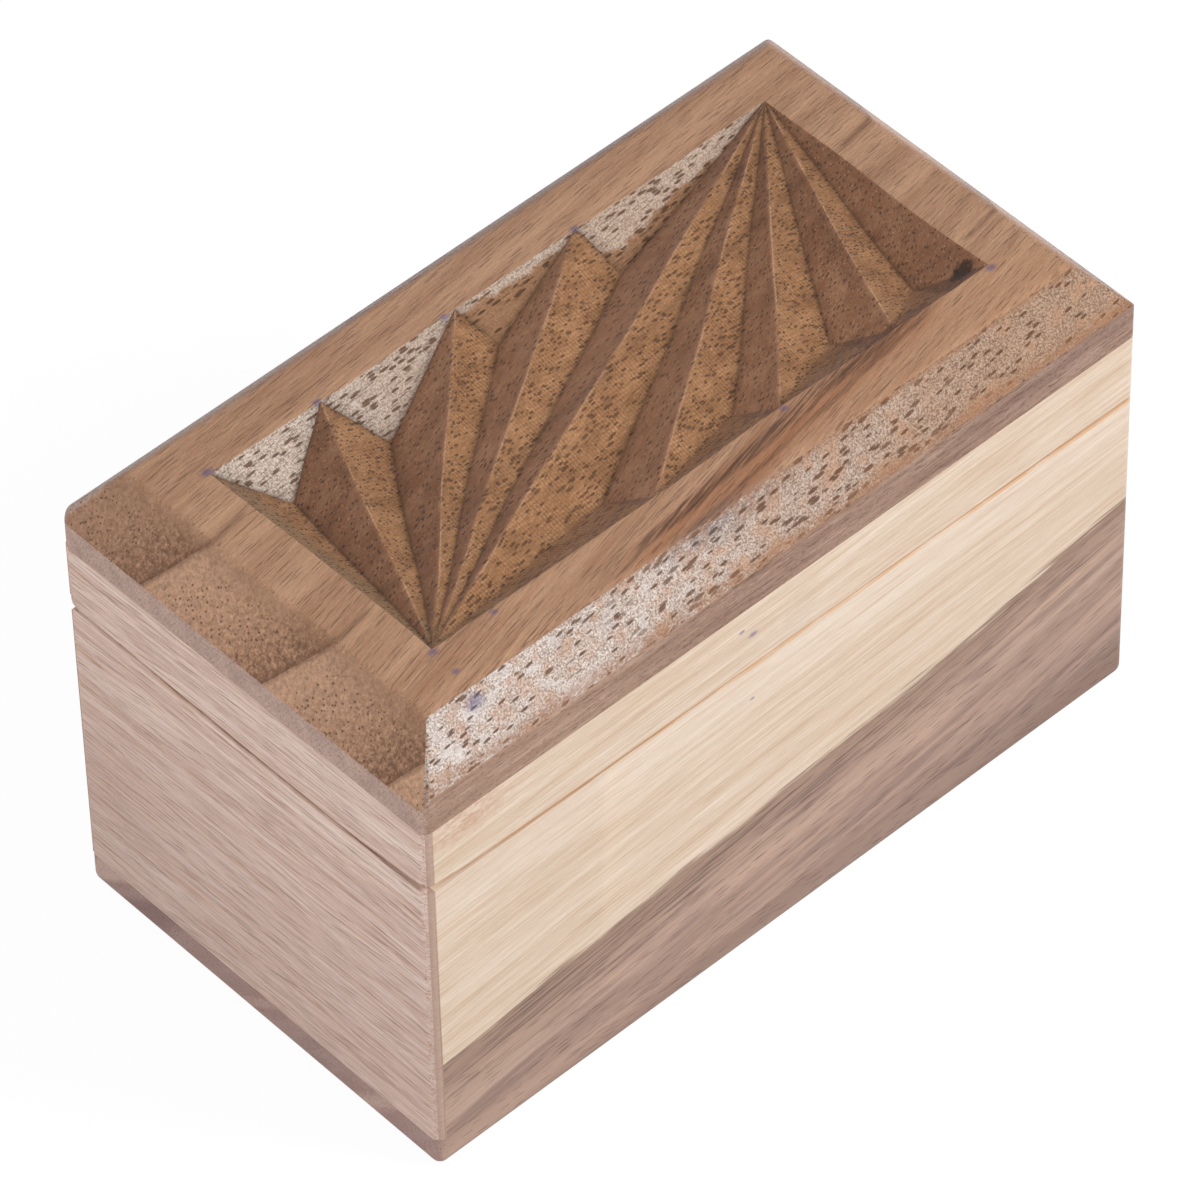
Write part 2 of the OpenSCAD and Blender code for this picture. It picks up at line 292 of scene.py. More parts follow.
# %% [markdown]
# ## The boards of the case and of the lid's frame
#
# Each wall and rail is a board with mitred ends. Its outer face follows half of a rounded upright corner, a
# straight run, and half of the next corner; its inner face is straight. So the board is a ruled surface: a
# profile loop (depth from the outer face, height) is carried along that path, and each point lies on the line
# between the outer and the inner path. Real boards that have been sanded by hand have no sharp arris, so the
# corners of the profile are replaced by small curves, a little wider along the seam. At the back the seam is
# rounded over, where the lid rolls on its hinge. The box was glued up closed and then sawn open, and the saw
# wandered by about a millimetre, so both lips of the seam share one slow drift.

# %% Sizes of the box
LENGTH, WIDTH, WALL, CORNER = 140.0, 77.0, 10.0, 1.6
BASE_TOP, WALL_TOP, RAIL_BOTTOM, RAIL_TOP, LID_TOP = 6.0, 60.9, 61.2, 73.5, 88.0
ROUND_OVER = 3.0
SEAM_LEVEL, LIPS_CLOSER = 61.05, 0.1
SEAM_EASE, EDGE_EASE, INNER_EASE = 0.28, 0.16, 0.3
half_x, half_y = LENGTH / 2, WIDTH / 2


def softened(corners, radii, steps=5):
    """A closed loop of corners, each replaced by a curve that starts and ends its radius away from it.
    The curve is the blend (1-t)^2 start + 2t(1-t) corner + t^2 end."""
    corners = np.array(corners, float)
    before, after = np.roll(corners, 1, axis=0), np.roll(corners, -1, axis=0)
    t = np.linspace(0, 1, steps + 1)[None, :, None]
    reach = np.array(radii, float)[:, None]
    start = corners + (before - corners) * reach / np.linalg.norm(before - corners, axis=1, keepdims=True)
    end = corners + (after - corners) * reach / np.linalg.norm(after - corners, axis=1, keepdims=True)
    loop = (1 - t) ** 2 * start[:, None] + 2 * t * (1 - t) * corners[:, None] + t ** 2 * end[:, None]
    return loop.reshape(-1, 2)


def outer_path(half_run, half_depth):
    """The outer face from above, from one mitre to the next, and the matching points of the inner face."""
    turn = np.linspace(np.pi / 4, 0, 7)
    bend = np.stack([-half_run + CORNER - CORNER * np.sin(turn),
                     -half_depth + CORNER - CORNER * np.cos(turn)], axis=-1)
    run = between(bend[-1], bend[-1] * [-1, 1], crowd(70)[1:-1])
    outside = np.concatenate([bend, run, bend[::-1] * [-1, 1]])
    inner = half_run - WALL
    inside = np.stack([np.clip(outside[:, 0], -half_run, half_run) * inner / half_run,
                       np.full(len(outside), -half_depth + WALL)], axis=-1)
    inside[0, 0], inside[-1, 0] = -inner, inner
    return outside, inside


def drift(x, y):
    """How far the saw strayed from a level cut, in millimetres: down towards the right of the front, up at
    the front left corner, a shallow dip along the left end, and nothing along the back."""
    gone = (y + half_y) / WIDTH
    dip = 0.9 * (1 - np.exp(-gone * WIDTH / 20)) * (1 - gone ** 3) * (0.5 - x / LENGTH)
    return ((0.2 - 0.0085 * (x + 40)) * (1 - gone)
            + np.exp(-(x + half_x) / 6 - gone * WIDTH / 9) - np.clip(dip, 0, None))


def board(name, side, bottom, top, seam, body):
    """A mitred board. side is front, left or right; seam says which edge meets the seam: top or bottom."""
    run, depth = (half_x, half_y) if side == "front" else (half_y, half_x)
    outside, inside = outer_path(run, depth)
    ease = (EDGE_EASE, SEAM_EASE) if seam == "top" else (SEAM_EASE, EDGE_EASE)
    loop = softened([(0, bottom), (0, top), (WALL, top), (WALL, bottom)], [*ease, INNER_EASE, INNER_EASE])
    share = (loop[:, 0] / WALL)[None, :, None]
    flat = outside[:, None] * (1 - share) + inside[:, None] * share
    points = np.concatenate([flat, np.broadcast_to(loop[None, :, 1:], (*flat.shape[:2], 1))], axis=-1)
    points = np.concatenate([points, points[:, :1]], axis=1)
    turned = {"front": 0, "right": 1, "left": -1}[side] * np.pi / 2
    x, y = points[..., 0].copy(), points[..., 1].copy()
    points[..., 0] = x * np.cos(turned) - y * np.sin(turned)
    points[..., 1] = x * np.sin(turned) + y * np.cos(turned)
    stray = drift(points[:, :1, 0], points[:, :1, 1])
    depth_share = np.concatenate([share, share[:, :1]], axis=1)[..., 0]
    closer = stray + (LIPS_CLOSER if seam == "top" else -LIPS_CLOSER)
    points[..., 2] += np.where(np.abs(points[..., 2] - SEAM_LEVEL) < 3, closer * (1 - depth_share), 0)
    bulge = np.clip(points[..., 1] - (half_y - ROUND_OVER), 0, ROUND_OVER)
    drop = ROUND_OVER - np.sqrt(ROUND_OVER ** 2 - bulge ** 2)
    if seam == "top":
        points[..., 2] = np.minimum(points[..., 2], top - drop)
    else:
        points[..., 2] = np.maximum(points[..., 2], bottom + drop)
    caps = [patch(np.stack([end, np.broadcast_to(end.mean(axis=0), end.shape)]))
            for end in (points[0], points[-1])]
    shell = patch(points, on_points={"seam": stray})
    return piece(name + "_board", [shell, *caps], body, name)


sides = {"front": "cream_wood", "left": "rose_wood", "right": "rose_wood"}
boards = [board(f"{side}_wall", side, BASE_TOP, WALL_TOP, "top", "body") for side, slot in sides.items()]
boards += [board(f"lid_{side}_rail", side, RAIL_BOTTOM, RAIL_TOP, "bottom", "lid")
           for side, slot in sides.items()]

# %% [markdown]
# ## The base board
#
# The base is one thin board with its lower edge well rounded. It is a profile carried round a closed path:
# the path is the rounded rectangle of the case, and the profile steps inwards from it. A point at depth d lies
# on the same rectangle drawn d smaller all round, so the corners stay round until they run out of radius.

# %% Base board
def ring(depth, steps=8, run=24):
    """A rounded rectangle drawn depth smaller than the case, always with the same number of points."""
    radius = np.maximum(CORNER - depth, 0)[..., None]
    quarter = np.linspace(0, np.pi / 2, steps + 1)
    sides = []
    for k in range(4):
        angle = quarter + k * np.pi / 2
        centre = np.sign([np.cos(k * np.pi / 2 + np.pi / 4), np.sin(k * np.pi / 2 + np.pi / 4)])
        hub = centre * np.stack([half_x - depth, half_y - depth], axis=-1) - centre * radius
        sides.append(hub[..., None, :] + radius[..., None] * np.stack([np.cos(angle), np.sin(angle)], axis=-1))
    straight = np.linspace(0, 1, run + 2)[1:-1][None, :]
    runs = [between(sides[k][..., -1:, :], sides[(k + 1) % 4][..., :1, :], straight) for k in range(4)]
    return np.concatenate([part for pair in zip(sides, runs) for part in pair], axis=-2)


sill = 2.0
turn = np.linspace(0, np.pi / 2, 9)
inmost = 34.0
profile = np.concatenate([[(inmost, BASE_TOP), (0.5, BASE_TOP), (0.12, BASE_TOP)],
                          [(0.03, BASE_TOP - 0.03), (0, BASE_TOP - 0.12), (0, 5), (0, 4), (0, 3)],
                          sill - sill * np.stack([np.cos(turn), np.sin(turn)], axis=-1), [(inmost, 0)]])
wall_line = ring(profile[:, 0])
sheet = np.concatenate([wall_line, np.broadcast_to(profile[:, None, 1:], (*wall_line.shape[:2], 1))], axis=-1)
sheet = np.concatenate([sheet, sheet[:, :1]], axis=1)
lids = [patch(np.stack([sheet[k], np.broadcast_to([[0, 0, sheet[k, 0, 2]]], sheet[k].shape)])) for k in (0, -1)]
base = piece("base_plate", [patch(sheet), *lids], "body", "base_board")

# %% [markdown]
# ## The carving
#
# In a chip carving each chip is a three-sided pyramid cut downwards: three flat cuts meet at the deepest
# point. The field holds two fans of four chips. The first fan springs from the front left corner and its rays
# end on the back edge; the second is the same idea turned half round. The deepest point of a chip lies under
# the centre of its inscribed circle, because there the three cuts can all have the same slope.
#
# Sharp computed edges look like folded metal. A knife cut in wood has a crest that is rounded by sanding and
# that sags a little, faces that are very slightly hollow, and lines that sway because a hand drew them. Each
# of these is one small term below, and each fades out at the corners so that neighbouring facets still meet.

# %% Layout of the chips
FIELD = np.array([54.0, 23.2])
BACK_FEET, FRONT_FEET = (0.188, 0.430, 0.650), (0.174, 0.379, 0.608)
KNIFE = math.tan(math.radians(36))
ALONG, ACROSS, BASE = crowd(56), crowd(20), crowd(40)
FAR = 9.0    # stands for a distance too large to matter

back_edge = np.array([[-FIELD[0] + 2 * FIELD[0] * share, FIELD[1]] for share in (0, *BACK_FEET, 1)])
front_edge = -np.array([[-FIELD[0] + 2 * FIELD[0] * share, FIELD[1]] for share in (0, *FRONT_FEET, 1)])


def deepest(a, b, c):
    """The pit of a chip: the corners weighted by the sides they face, sunk by the inscribed circle's radius
    times the slope of the knife."""
    sides = np.array([np.linalg.norm(b - c), np.linalg.norm(c - a), np.linalg.norm(a - b)])
    centre = (sides[:, None] * [a, b, c]).sum(axis=0) / sides.sum()
    area = abs((b - a)[0] * (c - a)[1] - (b - a)[1] * (c - a)[0]) / 2
    return np.array([*centre, LID_TOP - 2 * area / sides.sum() * KNIFE])


def sway(x, y):
    """How far a hand-drawn line strays, in millimetres along x and y: sums of three waves each. It fades to
    nothing between the carved field and the bevels."""
    outside = np.maximum(np.abs(x) - FIELD[0], np.abs(y) - FIELD[1])
    fade = np.clip(1 - outside / 6, 0, 1)
    first = (0.20 * np.sin(0.09 * x + 0.12 * y + 1) + 0.08 * np.sin(0.05 * x - 0.22 * y)
             + 0.02 * np.sin(0.7 * x + 2))
    second = (0.16 * np.sin(0.11 * x - 0.1 * y + 4) + 0.06 * np.sin(0.21 * x + 0.1 * y + 2)
              + 0.03 * np.sin(0.9 * x))
    return first * fade, second * fade


def swayed(points):
    """The points with the sway added."""
    along, across = sway(points[..., 0], points[..., 1])
    return points + np.stack([along, across, np.zeros_like(along)], axis=-1)


def rounded(distance, reach, steepness):
    """How much a rounded edge lies under a sharp one: steepness * reach * (1 - distance / reach)^2."""
    reach = np.maximum(reach, 1e-6)
    return steepness * reach * np.clip(1 - distance / reach, 0, 1) ** 2


def edge_reach(share, length):
    """Reach of the rounding along the border of the field, fading at the corners of the chips."""
    return np.minimum(0.30, 0.2 * np.minimum(share, 1 - share) * length)


# %% Facets
def altitudes(corners):
    """Height of a triangle over each of its sides, listed by the corner it starts from."""
    area = np.linalg.norm(np.cross(corners[1] - corners[0], corners[2] - corners[0]))
    return [area / np.linalg.norm(corners[(k + 1) % 3] - corners[(k + 2) % 3]) for k in range(3)]


def facet(tip, first, second, rows, columns, kind):
    """A triangular patch. With u down the rows and v along them, a point is
    (1 - u) tip + u (1 - v) first + u v second. Each weight times the height over the side that faces its
    corner is the distance from that side."""
    corners = np.array([tip, first, second])
    u, v = rows[:, None], columns[None, :]
    weights = np.stack([(1 - u) + 0 * v, u * (1 - v), u * v], axis=-1)
    points = weights @ corners
    heights = altitudes(corners)
    away = weights * heights
    hollow = 27 * weights.prod(axis=-1)
    length = np.linalg.norm(first - tip)
    if kind in ("ridge", "border"):
        along, across = u * length, away[..., 2]
        valley = np.minimum(away[..., 0], away[..., 1])
        points[..., 2] -= 0.035 * heights[2] * hollow
        if kind == "ridge":
            diagonal = abs(abs(first[0]) - FIELD[0]) < 1e-6
            left_over = length - along
            reach = np.minimum(np.minimum(0.55, 0.06 * along), (0.06 if diagonal else 0.25) * left_over)
            sag = 0.14 * np.clip(np.minimum(along / 4, left_over / (4 if diagonal else 2.5)), 0, 1)
            points[..., 2] -= rounded(across, reach, KNIFE / 2) + sag * (1 - v)
            crest, rim = across, np.full(across.shape, FAR)
        else:
            points[..., 2] -= rounded(across, edge_reach(u, length), KNIFE / 4)
            crest, rim = np.full(across.shape, FAR), across
    else:
        rim, crest = away[..., 0], np.full(hollow.shape, FAR)
        valley = np.minimum(away[..., 1], away[..., 2])
        points[..., 2] -= 0.03 * heights[0] * hollow
        points[..., 2] -= rounded(rim, edge_reach(v, np.linalg.norm(second - first)), KNIFE / 4)
    facing = np.cross(first - tip, second - tip)
    facing *= np.sign(facing[2])
    if kind != "base" and first[1] < 0 and facing[0] <= 0:
        valley = away[..., 1]
    tone = {"gold": facing[0] > 0, "dusk": facing[0] <= 0}
    if kind == "base":
        front, side = facing[1] > 0, second - first
        beyond = (columns[1:] + columns[:-1]) / 2 > (tip - first) @ side / (side @ side)
        tone = {"gold": front & beyond, "dusk": front & ~beyond, "dim": front, "pale": not front}
    return patch(swayed(points), on_points={"crest": crest, "valley": valley, "rim": rim}, on_faces=tone)


def chip(tip, left, right):
    """The three facets of one chip, from the fan's corner and the chip's two feet."""
    pit = deepest(tip, left, right)
    tip, left, right = (np.array([*p, LID_TOP]) for p in (tip, left, right))
    kinds = ["border" if abs(p[0] - tip[0]) < 1e-6 else "ridge" for p in (left, right)]
    return [facet(tip, left, pit, ALONG, ACROSS, kinds[0]), facet(tip, right, pit, ALONG, ACROSS, kinds[1]),
            facet(pit, left, right, ACROSS, BASE, "base")]


carving = []
for feet, corner in ((back_edge, front_edge[-1]), (front_edge, back_edge[-1])):
    for left, right in zip(feet[:-1], feet[1:]):
        carving += chip(corner, left, right)
print("facets in the carving:", len(carving))

# %% [markdown]
# ## The rim, the bevels and the thin edge
#
# Round the carving lies a flat rim, then a bevel on every side, then the thin upright edge of the board. The
# height of the rim and the bevels is the least of three planes: the top, the long bevel and the end bevel.
# Taking a soft minimum instead of a sharp one wears every arris and hip at once. The soft minimum of a and b
# is min(a, b) - h^2 w / 4, where h = max(0, 1 - |a - b| / w) and w is the width of the wear.

# %% Rim, bevels and edge
CREASE = np.array([62.9, 31.8])
SLANT = {"long": (6.7, 8.0), "end": (7.1, 10.0)}    # each bevel's width and drop
RIGHT_DROP = 8.9


def soft_least(a, b, wear):
    """Soft minimum of two heights."""
    nearness = np.clip(1 - np.abs(a - b) / wear, 0, 1)
    return np.minimum(a, b) - nearness ** 2 * wear / 4


def shoulder(x, y):
    """Height of the rim and the bevels over a point of the plan."""
    wear = 1.15 + 0.35 * np.sin(0.13 * x + 0.4) * np.sin(0.21 * y + 1)
    long_side = LID_TOP - (np.abs(y) - CREASE[1]) * SLANT["long"][1] / SLANT["long"][0]
    slope = np.where(x > 0, RIGHT_DROP, SLANT["end"][1]) / SLANT["end"][0]
    end_side = LID_TOP - (np.abs(x) - CREASE[0]) * slope
    return soft_least(soft_least(long_side, end_side, 0.9), LID_TOP, wear)


def side_strip(corner_from, corner_to, lines, which):
    """One side of the rim, the bevel and the edge, between the middles of two upright corners."""
    lines = np.concatenate([part[:-1] for part in lines] + [lines[-1][-1:]])
    first, last = np.sign(corner_from), np.sign(corner_to)
    run = (last - first) / 2
    out = np.array([run[1], -run[0]])
    span = half_x if run[0] else half_y
    share = ((lines - lines[0]) @ run) / ((lines[-1] - lines[0]) @ run)
    turn = np.linspace(np.pi / 4, 0, 7)[:-1]
    arcs = np.stack([-span + CORNER - CORNER * np.sin(turn), CORNER * np.cos(turn) - CORNER], axis=-1)
    plain = np.stack([(2 * share - 1) * (span - CORNER), 0 * share], axis=-1)
    outline = np.concatenate([arcs, plain, arcs[::-1] * [-1, 1]])
    depth = half_y if run[0] else half_x
    outline = outline[:, :1] * run + (outline[:, 1:] + depth) * out
    inner = np.concatenate([np.repeat(lines[:1], 6, axis=0), lines, np.repeat(lines[-1:], 6, axis=0)])
    crease = between(first * CREASE, last * CREASE, np.clip(np.concatenate([[0] * 6, share, [1] * 6]), 0, 1))
    pitch = math.atan2(RIGHT_DROP if out[0] > 0 else SLANT[which][1], SLANT[which][0])
    middle = sum(math.atan2(drop, width) for width, drop in SLANT.values()) / 2
    bend = np.concatenate([np.linspace(1, 0, 7)[:-1], 0 * share, np.linspace(0, 1, 7)[1:]])
    pitch = pitch + (middle - pitch) * bend
    normal = np.concatenate([out * np.cos(turn)[:, None] - run * np.sin(turn)[:, None],
                             np.repeat(out[None], len(share), axis=0),
                             (out * np.cos(turn)[:, None] + run * np.sin(turn)[:, None])[::-1]])
    wear = 0.7
    inset = outline - normal * (wear * (1 - np.sin(pitch)))[:, None]

    to_crease = np.array([0, .006, .013, .022, .034, .06, .2, .5, .8, .9, .94, .965, .985, 1])
    to_inset = np.array([0, .012, .03, .05, .08, .14, .3, .5, .7, .85, .95, 1])
    rim = between(inner[:, None], crease[:, None], to_crease[None])
    bevel = between(crease[:, None], inset[:, None], to_inset[None])
    border = np.concatenate([np.zeros(6), *[edge_reach(BASE if which == "long" else ALONG, w)[:-1]
                             for w in lengths_of(lines, which)], np.zeros(7)])
    away = np.linalg.norm(rim - inner[:, None], axis=-1)
    rim_z = shoulder(rim[..., 0], rim[..., 1]) - rounded(away, border[:, None], KNIFE / 4)
    bevel_z = shoulder(bevel[..., 0], bevel[..., 1])
    foot = shoulder(outline[:, 0], outline[:, 1]) + wear * np.tan(pitch) - wear / np.cos(pitch)
    angle = (np.pi / 2 - pitch)[:, None] * np.linspace(1, 0, 6)[None]
    nose = outline[:, None] - normal[:, None] * (wear * (1 - np.cos(angle)))[..., None]
    nose_z = foot[:, None] + wear * np.sin(angle)
    nose_z += (bevel_z[:, -1:] - nose_z[:, :1]) * np.linspace(1, 0, 6)[None]
    drop = np.array([0.1, 0.4, 0.7, 0.9, 0.97, 1])
    wall_z = foot[:, None] * (1 - drop) + (RAIL_TOP + 0.14) * drop
    wall = np.repeat(outline[:, None], 6, axis=1)
    under = outline[:, None] - normal[:, None] * np.array([0.03, 0.1])[None, :, None]
    under_z = np.repeat(np.array([[RAIL_TOP + 0.03, RAIL_TOP]]), len(outline), axis=0)

    def joined(plan, height):
        return np.concatenate([plan, height[..., None]], axis=-1)

    numbers = {"crest": FAR, "valley": FAR, "rim": FAR}
    face = {"pale": which == "long" and out[1] < 0}
    top = swayed(joined(rim, rim_z))
    edge = np.concatenate([joined(wall, wall_z), joined(under, under_z)], axis=1)
    floor = np.stack([edge[:, -1], np.broadcast_to([0, 0, RAIL_TOP], edge[:, -1].shape)], axis=1)
    return [patch(top, on_points={**numbers, "rim": away}),
            patch(joined(bevel, bevel_z), on_points={**numbers, "bevel": 1.0}, on_faces=face),
            patch(np.concatenate([joined(nose, nose_z), edge], axis=1), on_points=numbers,
                  on_faces={"edge": 1.0}),
            patch(floor, on_points=numbers)]


def lengths_of(lines, which):
    """Lengths of the stretches between the feet of the chips along one side of the field."""
    step = (len(BASE) if which == "long" else len(ALONG)) - 1
    marks = lines[::step]
    return np.linalg.norm(np.diff(marks, axis=0), axis=1)


def stretches(corners, shares):
    """Points along each stretch between corners."""
    return [between(a, b, shares) for a, b in zip(corners[:-1], corners[1:])]


left_end, right_end = np.array([back_edge[0], front_edge[-1]]), np.array([front_edge[0], back_edge[-1]])
rounds = [((-1, -1), (1, -1), front_edge[::-1], "long"), ((1, -1), (1, 1), right_end, "end"),
          ((1, 1), (-1, 1), back_edge[::-1], "long"), ((-1, 1), (-1, -1), left_end, "end")]
frame_strips = [strip for start, end, feet, which in rounds
                for strip in side_strip(start, end, stretches(feet, BASE if which == "long" else ALONG), which)]
carved_top = piece("carved_lid", carving + frame_strips, "lid", "carved_top", smooth_up_to=24)

# %% [markdown]
# ## What every wood here has in common
#
# Wood is a bundle of tubes. If its patterns are worked out in three dimensions, stretched along the grain,
# then every cut shows what it should without further work: long dashes where the cut runs with the grain, and
# round dots where it crosses it. So each finish first works out how far a point lies along the grain, across
# it and deep in it, in millimetres, and then asks for the same few things: broad bands of growth, fine fibres,
# open pores, and the grit that sanding leaves on any bare wood.

# %% Grain
class Grain:
    """The shared patterns of a board whose grain directions are given as wires in millimetres."""

    def __init__(self, finish, along, across, deep, seed=0.0):
        self.finish, self.along, self.across, self.deep = finish, along, across + seed * 7.3, deep + seed * 3.1

    def streaks(self, length, width, detail=2.0, roughness=0.5):
        """Noise between 0 and 1 with streaks of about that length and width."""
        return self.finish.cloud(self.along / length, self.across / width, self.deep / width, detail, roughness)

    def pores(self, length, width, share, size=0.3):
        """1 inside a pore and 0 outside, for about that share of the cells of a stretched scatter."""
        row = self.across / width * 0.31 + self.deep / width * 0.17
        distance, chance = self.finish.cells(self.along / length + row, self.across / width, self.deep / width)
        return distance.rise(size + 0.12, size - 0.06) * chance.rise(share + 0.01, share - 0.01)

    def grit(self, width=0.32):
        """Sanded grain: small bumps, a little longer than wide."""
        return self.streaks(width * 2.2, width, 4.0, 0.8)


def sanded(wood, colour, pore, marks, strengths, roughness, relief):
    """Bare sanded wood. Each mark lightens and darkens the colour by its strength; pores are deep and dull."""
    thread, fine, grit = marks
    ripple, fibre, grain = ((mark - 0.5) * strength for mark, strength in zip(marks, strengths))
    return wood.finish(wood.shade(colour, ripple + fibre + grain + 1), roughness + pore * 0.2,
                       fine * 0.3 + thread * 0.3 + grit * 0.5 - pore, relief, Specular_IOR_Level=0.3)


def spot(finish, centre, radius, stretch=(1, 1, 1), soft=0.4):
    """1 inside a small spot round a point, ragged at its edge, and 0 outside."""
    offset = finish.node("ShaderNodeVectorMath", {"operation": "SUBTRACT"}, finish.place, centre)[0]
    offset = finish.node("ShaderNodeVectorMath", {"operation": "DIVIDE"}, offset,
                         tuple(radius * s for s in stretch))[0]
    length = finish.node("ShaderNodeVectorMath", {"operation": "LENGTH"}, offset)[1]
    return (length + (finish.lumps(0.7) - 0.5) * 0.9).rise(1 + soft, 1 - soft)


def specks(finish, places, stretch, soft, share, colour):
    """Coats for Finish.layers: a small spot of that colour at each place, which is a centre and a radius."""
    return [(spot(finish, centre, radius, stretch, soft) * share, colour) for centre, radius in places]


def bands(finish, value, low, high, *colours):
    """Colours spread evenly between two values of a wire, blended smoothly."""
    share = finish.node("ShaderNodeMapRange", {"clamp": True}, value, low, high)[0]
    stops = [(k / (len(colours) - 1), paint(c)[:3]) for k, c in enumerate(colours)]
    return finish.node("ShaderNodeValToRGB", {"stops": stops}, share)[0]


# %% [markdown]
# ## Cream wood with a brown heart
#
# The front wall and the rail above it come from one board: cream sapwood above, brown heartwood below, with a
# slanting border that rises to the right. The border is written as a height over the length of the box, and
# the distance from it carries the heart's own bands. The seam was cut through the same board, and its two
# lips are golden brown, perhaps scorched by the saw.

# %% Front finish
def seam_scorch(finish, reach, strength):
    """Golden brown along both lips of the seam, broken up along its length."""
    lips = (finish.z - SEAM_LEVEL - finish.read("seam")).size().rise(reach, 0.2)
    lips = lips * finish.x.size().rise(68.4, 69.2).most(finish.y.size().rise(36.9, 37.7))
    patchy = finish.cloud(finish.x / 7, finish.y / 7, finish.z / 3, 3).rise(0.25, 0.65)
    return lips * (patchy * 0.7 + 0.3) * strength


def heart_brown(wood, depth, broad, fine):
    """Brown heartwood: bands that follow the distance from the border with the sapwood."""
    return bands(wood, depth + (broad - 0.5) * 9 + (fine - 0.5) * 5, -34, 1.0,
                 (142, 115, 102), (158, 131, 118), (150, 122, 109), (180, 150, 133), (160, 131, 116),
                 (188, 158, 140), (178, 148, 130), (166, 136, 118), (150, 121, 104))


def cream_finish(name):
    wood = Finish(name)
    x, y, z = wood.x, wood.y, wood.z
    bulge = (x - 10).most(0)
    bow = bulge * bulge * 0.001
    border = (x + half_x) * 0.1 + bow + 22.3
    fan = z.rise(66, 24) * 0.75 + 0.25
    grain = Grain(wood, x, z - (x + half_x) * 0.11 * fan - bow * z.rise(54, 28), y, seed=1)
    broad, fine = grain.streaks(45, 2.4, 3), grain.streaks(11, 0.42, 4, 0.65)
    thread, grit = grain.streaks(2.5, 0.15, 2), grain.grit(0.36)
    depth = z - border + (grain.streaks(60, 9) - 0.5) * 3 + (grain.streaks(12, 0.7, 3) - 0.5) * 4.5
    depth = depth + (y + half_y) * 0.35
    heart = depth.rise(0.8, -0.6)

    sap = bands(wood, broad * 0.45 + fine * 0.55, 0.32, 0.68,
                (202, 172, 146), (218, 196, 174), (231, 213, 196))
    sap = wood.layers(sap, (z.rise(48, 56) * z.rise(61.5, 60.5) * 0.3, (238, 224, 210)),
                      (grain.streaks(26, 0.6, 3).rise(0.55, 0.68) * 0.45, (206, 168, 134)))
    lined = grain.streaks(18, 0.42, 3, 0.65).rise(0.50, 0.62)
    lined = lined * (depth.near(-3.5, 8) * (x.rise(70, -60) * 0.65 + 0.5) + 0.3)
    smoke = grain.streaks(22, 2.6, 3).rise(0.52, 0.70) * depth.rise(-1.5, -5)
    pink = grain.streaks(30, 2.0, 3).rise(0.52, 0.68) * depth.rise(-3, -7)
    brown = wood.layers(heart_brown(wood, depth, broad, fine), (lined.least(1) * 0.66, (96, 74, 66)),
                        (smoke * 0.45, (118, 94, 88)), (pink * 0.35, (206, 168, 148)))

    blush = spot(wood, (-63, -38, 71.5), 6, (1.3, 1, 0.5), 0.9) * grain.streaks(2, 0.7, 4, 0.7).rise(0.38, 0.6)
    pore = grain.pores(4, 0.26, 0.32) * (heart * 0.5 + 0.15)
    ink = [((-9.4, -38.5, 69.6), 0.4), ((-7.2, -38.5, 67.6), 0.6), ((-7.4, -38.5, 54), 0.35)]
    mitre = (x + (z - 61) * 0.004).rise(-68.5, -68.7)
    colour = wood.layers(
        wood.mix(heart, sap, brown),
        (blush * 0.7, (190, 142, 120)),
        (pore, wood.mix(heart, (170, 130, 98), (104, 80, 68))),
        *specks(wood, ink, (1.3, 1, 0.7), 0.6, 0.7, (116, 108, 148)),
        (seam_scorch(wood, 0.7, x.rise(-46, -64) * 0.5 + 0.6), (204, 144, 74)),
        (mitre, wood.mix(fine, (170, 138, 122), (200, 172, 156))),
        ((x + 68.55).near(0, 0.22) * 0.55, (146, 112, 92)))
    return sanded(wood, colour, pore, (thread, fine, grit), (0.12, 0.12, 0.18), 0.55, 0.06)


finishes = {"cream": cream_finish("cream_wood")}


# %% [markdown]
# ## Pinkish end boards
#
# The ends are plainer: straight, fine grain that runs along each end, in thin bands of grey-pink and tan, with
# many short dark lines where the long pores were opened.

# %% End finish
def rose_finish(name):
    wood = Finish(name)
    x, y, z = wood.x, wood.y, wood.z
    grain = Grain(wood, y, z + y * 0.03, x, seed=2)
    grain.across = grain.across + (grain.streaks(70, 12) - 0.5) * 6
    broad, fine = grain.streaks(60, 2.2, 4), grain.streaks(16, 0.36, 4, 0.65)
    thread, grit = grain.streaks(3.0, 0.14, 2), grain.grit(0.36)
    colour = bands(wood, broad * 0.4 + fine * 0.6, 0.32, 0.68,
                   (198, 164, 148), (227, 198, 184), (244, 224, 212))
    pore = grain.pores(6, 0.2, 0.45) * 0.6
    colour = wood.layers(
        colour,
        (z.rise(54, 51) * z.rise(6, 40) * 0.15 + z.rise(50, 10) * 0.35, (190, 160, 150)),
        (grain.streaks(30, 0.6, 4, 0.6).rise(0.52, 0.64) * 0.5, (204, 160, 130)),
        (grain.streaks(12, 0.3, 3, 0.6).rise(0.57, 0.67) * 0.55, (152, 114, 94)),
        (pore, (146, 110, 90)),
        (seam_scorch(wood, 0.9, y.rise(10, -34) * 0.45 + 0.4), (150, 104, 64)))
    return sanded(wood, colour, pore, (thread, fine, grit), (0.20, 0.20, 0.26), 0.58, 0.07)


finishes["rose"] = rose_finish("rose_wood")


# %% [markdown]
# ## The dark base
#
# The base is a darker, purple-brown board. Its grain runs along the box, so its ends show end grain: slanting
# growth bands, which come from the same three-dimensional rings that make long streaks on the front. Its long
# sides show the same brown heartwood as the board above them.

